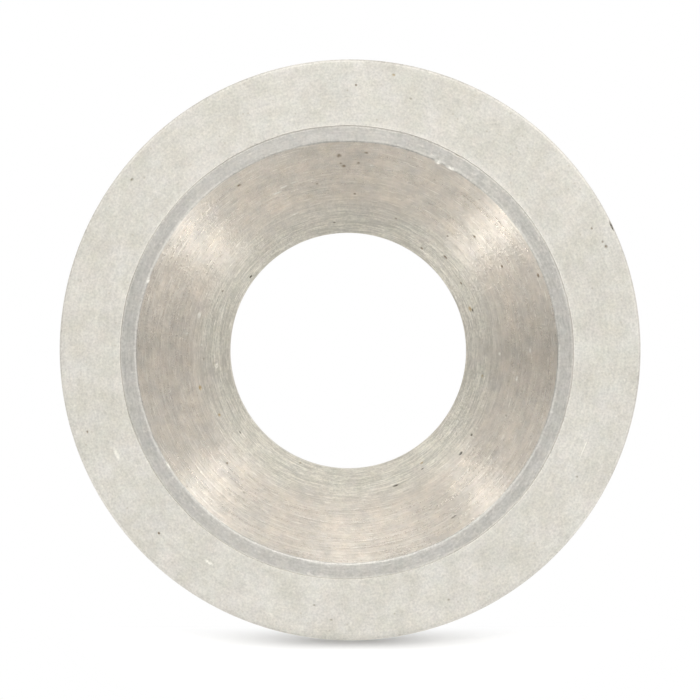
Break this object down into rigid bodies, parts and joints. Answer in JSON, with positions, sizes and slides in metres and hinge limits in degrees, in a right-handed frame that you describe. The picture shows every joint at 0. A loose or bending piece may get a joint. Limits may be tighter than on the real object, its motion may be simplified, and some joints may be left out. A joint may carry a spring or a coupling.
{
  "type": "countersunk washer",
  "caption": "Solid turned washer with a conical seat for the head of a countersunk screw and a clearance bore for its shank.",
  "frame": {"origin": "on the bore's axis, in the plane of the back face that the washer lies on", "axes": "+Z along the bore's axis, out of the countersunk front face; +X and +Y across the face, the rim's own centre standing a little towards both"},
  "size_m": [0.022, 0.022, 0.005],
  "materials": {
    "stainless": "stainless steel: tumbled matte faces and rim, turned cone and bore"
  },
  "bodies": {
    "root": {"washer": "stainless"}
  },
  "joints": []
}
